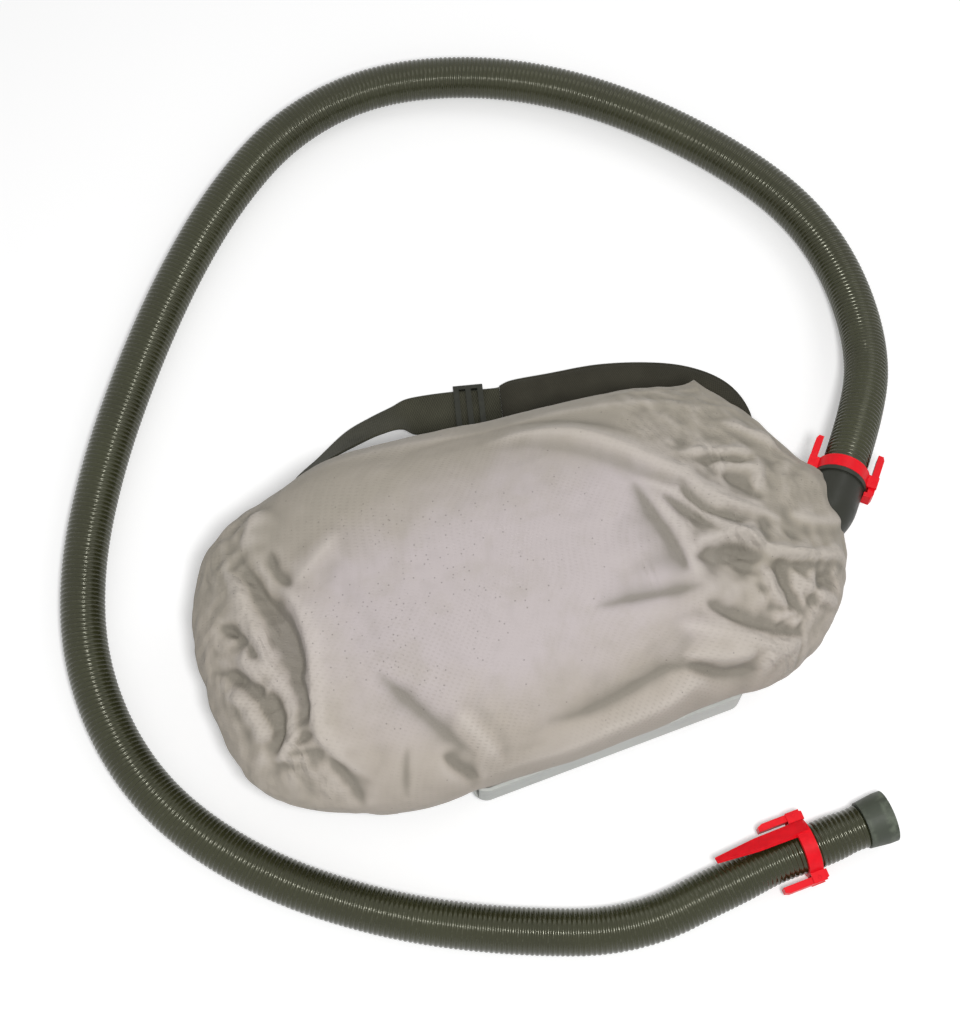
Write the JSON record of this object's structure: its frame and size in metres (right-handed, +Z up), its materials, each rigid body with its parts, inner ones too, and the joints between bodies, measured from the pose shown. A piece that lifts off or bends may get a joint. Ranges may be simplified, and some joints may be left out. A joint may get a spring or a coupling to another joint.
{
  "type": "backpack vacuum cleaner",
  "caption": "Soft-covered backpack vacuum cleaner lying on its harness, with inlet elbow, ribbed suction hose, lock rings, shoulder straps, motor, filter and battery inside.",
  "frame": {"origin": "on the floor under the middle of the base shell, in the lower face of the upper back pad", "axes": "+X from the bottom end of the backpack to its inlet end, +Y towards the strap that lies out, +Z up, away from the wearer's back"},
  "size_m": [0.8076, 0.8672, 0.1819],
  "materials": {
    "grey_plastic": "light grey moulded panel with fine grain",
    "dark_plastic": "dark moulded plastic",
    "cuff_plastic": "grey-green moulded plastic, slightly worn",
    "red_plastic": "bright red moulded plastic",
    "power_key": "dark grey key",
    "hose_plastic": "olive-black corrugated hose, satin",
    "cover_cloth": "beige-grey embossed non-woven filter cloth",
    "webbing": "dark olive webbing",
    "pad_cloth": "dark olive padded mesh cloth",
    "elastic": "covered elastic",
    "seal_rubber": "black rubber",
    "bag_paper": "brown-white filter paper",
    "collar_board": "pressed board",
    "filter_foam": "open-cell foam",
    "steel": "zinc-plated steel",
    "stator_iron": "laminated iron with copper windings",
    "battery_case": "black battery case",
    "circuit_board": "green circuit board"
  },
  "bodies": {
    "backpack": {"harness_plate": "grey_plastic", "base_shell": "dark_plastic", "inlet_port": "dark_plastic", "hose_cuff_body": "dark_plastic", "bulkhead": "dark_plastic", "filter_frame": "dark_plastic", "motor_housing_front": "dark_plastic", "motor_housing_rear": "dark_plastic", "diffuser_plate": "dark_plastic", "charge_socket": "dark_plastic", "switch_housing": "dark_plastic", "lock_ring_body": "red_plastic", "lock_ring_tool": "red_plastic", "lock_ring_pins": "red_plastic", "suction_hose": "hose_plastic", "filter_cover": "cover_cloth", "strap_webbing_far_upper": "webbing", "strap_webbing_far_lower": "webbing", "strap_webbing_near_upper": "webbing", "strap_webbing_near_lower": "webbing", "shoulder_pad_far": "pad_cloth", "shoulder_pad_near": "pad_cloth", "back_pad_upper": "pad_cloth", "back_pad_lumbar": "pad_cloth", "hem_elastic": "elastic", "inlet_seal": "seal_rubber", "motor_seal": "seal_rubber", "motor_mount_front": "seal_rubber", "motor_mount_rear": "seal_rubber", "dust_bag": "bag_paper", "bag_collar": "collar_board", "pre_motor_filter": "filter_foam", "cover_frame": "steel", "motor_clamps": "steel", "strap_clamp_plates": "steel", "battery_strap": "steel", "bearing_front": "steel", "bearing_rear": "steel", "harness_screws": "steel", "board_screws": "steel", "motor_stator": "stator_iron", "battery_pack": "battery_case", "control_board": "circuit_board"},
    "rotor": {"motor_rotor": "steel", "fan_impeller": "dark_plastic"},
    "power_key": {"power_button": "power_key"},
    "latch_body_left": {"body_latch_left": "red_plastic"},
    "latch_body_right": {"body_latch_right": "red_plastic"},
    "latch_tool_far": {"tool_latch_far": "red_plastic"},
    "latch_tool_near": {"tool_latch_near": "red_plastic"},
    "slider_far": {"strap_slider_far": "dark_plastic"},
    "slider_near": {"strap_slider_near": "dark_plastic"},
    "tool_cuff": {"hose_cuff_tool": "cuff_plastic"}
  },
  "joints": [
    {"name": "motor_spin", "type": "hinge", "parent": "backpack", "child": "rotor", "pos_m": [-0.09, 0, 0.092], "axis": [1, 0, 0], "continuous": true},
    {"name": "power_press", "type": "slide", "parent": "backpack", "child": "power_key", "axis": [0, -1, 0], "range_m": [0, 0.0012], "stiffness_N_per_m": 900, "springref_m": -0.0008},
    {"name": "body_left_press", "type": "hinge", "parent": "backpack", "child": "latch_body_left", "pos_m": [0.27285, 0.0203, 0.08532], "axis": [-0.1619, -0.1798, -0.9703], "range_deg": [0, 8], "stiffness_Nm_per_rad": 0.08, "springref_deg": -2.86},
    {"name": "body_right_press", "type": "hinge", "parent": "backpack", "child": "latch_body_right", "pos_m": [0.31387, -0.01664, 0.08532], "axis": [0.1619, 0.1798, 0.9703], "range_deg": [0, 8], "stiffness_Nm_per_rad": 0.08, "springref_deg": -2.86},
    {"name": "tool_far_press", "type": "hinge", "parent": "backpack", "child": "latch_tool_far", "pos_m": [0.148, -0.2444, 0.0235], "axis": [0, 0, 1], "range_deg": [0, 8], "stiffness_Nm_per_rad": 0.08, "springref_deg": -2.86},
    {"name": "tool_near_press", "type": "hinge", "parent": "backpack", "child": "latch_tool_near", "pos_m": [0.148, -0.2996, 0.0235], "axis": [0, 0, -1], "range_deg": [0, 8], "stiffness_Nm_per_rad": 0.08, "springref_deg": -2.86},
    {"name": "far_strap_adjust", "type": "slide", "parent": "backpack", "child": "slider_far", "axis": [-0.9659, 0.2588, 0], "range_m": [-0.006, 0.006]},
    {"name": "near_strap_adjust", "type": "slide", "parent": "backpack", "child": "slider_near", "axis": [-1, 0, 0], "range_m": [-0.006, 0.006]},
    {"name": "tool_cuff_swivel", "type": "hinge", "parent": "backpack", "child": "tool_cuff", "pos_m": [0.2003, -0.272, 0.0235], "axis": [1, 0, 0], "continuous": true}
  ]
}
